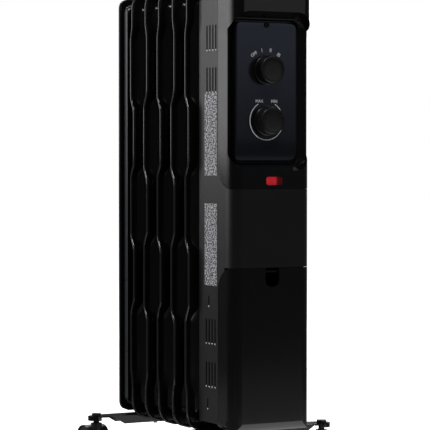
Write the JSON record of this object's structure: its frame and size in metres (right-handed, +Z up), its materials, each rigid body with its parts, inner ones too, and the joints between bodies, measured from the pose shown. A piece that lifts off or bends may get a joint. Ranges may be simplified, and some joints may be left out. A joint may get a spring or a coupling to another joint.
{
  "type": "oil filled radiator heater",
  "caption": "Free-standing oil filled radiator heater: wavy pressed fins on two headers, a slim housing with two dials, a hinged cord lid, and swivel casters.",
  "frame": {"origin": "on the floor, under the middle of the heater's bounding box", "axes": "+Z up; the control face looks toward -Y; the fins stack along Y; +X is to the right of the dials"},
  "size_m": [0.2608, 0.312, 0.64],
  "materials": {
    "fin_paint": "semi-gloss black stove enamel on pressed steel",
    "element_sheath": "steel sheath",
    "zinc_steel": "bright zinc plate",
    "bracket_paint": "gloss black powder coat",
    "galvanised_sheet": "galvanised sheet",
    "housing_paint": "satin black coat on sheet steel",
    "housing_plastic": "moulded glossy black plastic",
    "dial_plastic": "moulded satin-gloss black plastic",
    "knob_plastic": "moulded satin-gloss black plastic",
    "black_plastic": "moulded black nylon",
    "wheel_plastic": "moulded black nylon wheel",
    "white_print": "white pad print",
    "rating_label": null,
    "black_screw": "blackened steel",
    "red_lens": "fluted red lens",
    "lamp_glass": "neon lamp",
    "white_plastic": "moulded white plastic",
    "thermostat_steel": "plated steel case",
    "cutout_brass": "brass cap",
    "switch_plastic": "sealed black plastic case"
  },
  "bodies": {
    "radiator": {"fin_1": "fin_paint", "fin_2": "fin_paint", "fin_3": "fin_paint", "fin_4": "fin_paint", "fin_5": "fin_paint", "fin_6": "fin_paint", "fin_7": "fin_paint", "upper_collars": "fin_paint", "lower_collars": "fin_paint", "element_low": "element_sheath", "element_high": "element_sheath", "element_flange": "zinc_steel", "filler_plug": "zinc_steel", "back_plate": "galvanised_sheet", "plate_screws": "zinc_steel", "side_shell": "housing_paint", "base_plate": "housing_paint", "cord_gland": "black_plastic", "side_labels": "rating_label", "control_moulding": "housing_plastic", "top_cap": "housing_plastic", "dial_panel": "dial_plastic", "dial_marks": "white_print", "panel_screw": "black_screw", "lamp_lens": "red_lens", "neon_lamp": "lamp_glass", "selector_switch": "white_plastic", "thermostat": "thermostat_steel", "thermal_cutout": "cutout_brass", "tip_switch": "switch_plastic", "terminal_block": "white_plastic", "cord_bay": "housing_plastic", "hinge_pins": "zinc_steel", "front_bracket": "bracket_paint", "rear_bracket": "bracket_paint", "u_bolts": "zinc_steel", "wing_nuts": "zinc_steel", "caster_stems": "zinc_steel", "stem_nuts": "black_plastic"},
    "selector": {"selector_knob": "knob_plastic", "selector_shaft": "zinc_steel"},
    "thermostat_dial": {"thermostat_knob": "knob_plastic", "thermostat_shaft": "zinc_steel"},
    "lid": {"storage_lid": "housing_plastic"},
    "swivel_fl": {"hood_fl": "black_plastic"},
    "roller_fl": {"wheels_fl": "wheel_plastic", "axle_fl": "zinc_steel"},
    "swivel_fr": {"hood_fr": "black_plastic"},
    "roller_fr": {"wheels_fr": "wheel_plastic", "axle_fr": "zinc_steel"},
    "swivel_rl": {"hood_rl": "black_plastic"},
    "roller_rl": {"wheels_rl": "wheel_plastic", "axle_rl": "zinc_steel"},
    "swivel_rr": {"hood_rr": "black_plastic"},
    "roller_rr": {"wheels_rr": "wheel_plastic", "axle_rr": "zinc_steel"}
  },
  "joints": [
    {"name": "selector_turn", "type": "hinge", "parent": "radiator", "child": "selector", "pos_m": [0, -0.135, 0.516], "axis": [0, 1, 0], "range_deg": [0, 84]},
    {"name": "thermostat_turn", "type": "hinge", "parent": "radiator", "child": "thermostat_dial", "pos_m": [0, -0.135, 0.4515], "axis": [0, 1, 0], "range_deg": [-36, 276]},
    {"name": "lid_hinge", "type": "hinge", "parent": "radiator", "child": "lid", "pos_m": [0, -0.136, 0.0695], "axis": [1, 0, 0], "range_deg": [0, 75]},
    {"name": "swivel_fl", "type": "hinge", "parent": "radiator", "child": "swivel_fl", "pos_m": [-0.1154, -0.082, 0.043], "axis": [0, 0, 1], "continuous": true},
    {"name": "swivel_fr", "type": "hinge", "parent": "radiator", "child": "swivel_fr", "pos_m": [0.1154, -0.082, 0.043], "axis": [0, 0, 1], "continuous": true},
    {"name": "swivel_rl", "type": "hinge", "parent": "radiator", "child": "swivel_rl", "pos_m": [-0.1154, 0.123, 0.043], "axis": [0, 0, 1], "continuous": true},
    {"name": "swivel_rr", "type": "hinge", "parent": "radiator", "child": "swivel_rr", "pos_m": [0.1154, 0.123, 0.043], "axis": [0, 0, 1], "continuous": true},
    {"name": "roll_fl", "type": "hinge", "parent": "swivel_fl", "child": "roller_fl", "pos_m": [-0.1154, -0.072, 0.02], "axis": [1, 0, 0], "continuous": true},
    {"name": "roll_fr", "type": "hinge", "parent": "swivel_fr", "child": "roller_fr", "pos_m": [0.1154, -0.072, 0.02], "axis": [1, 0, 0], "continuous": true},
    {"name": "roll_rl", "type": "hinge", "parent": "swivel_rl", "child": "roller_rl", "pos_m": [-0.1154, 0.133, 0.02], "axis": [1, 0, 0], "continuous": true},
    {"name": "roll_rr", "type": "hinge", "parent": "swivel_rr", "child": "roller_rr", "pos_m": [0.1154, 0.133, 0.02], "axis": [1, 0, 0], "continuous": true}
  ]
}
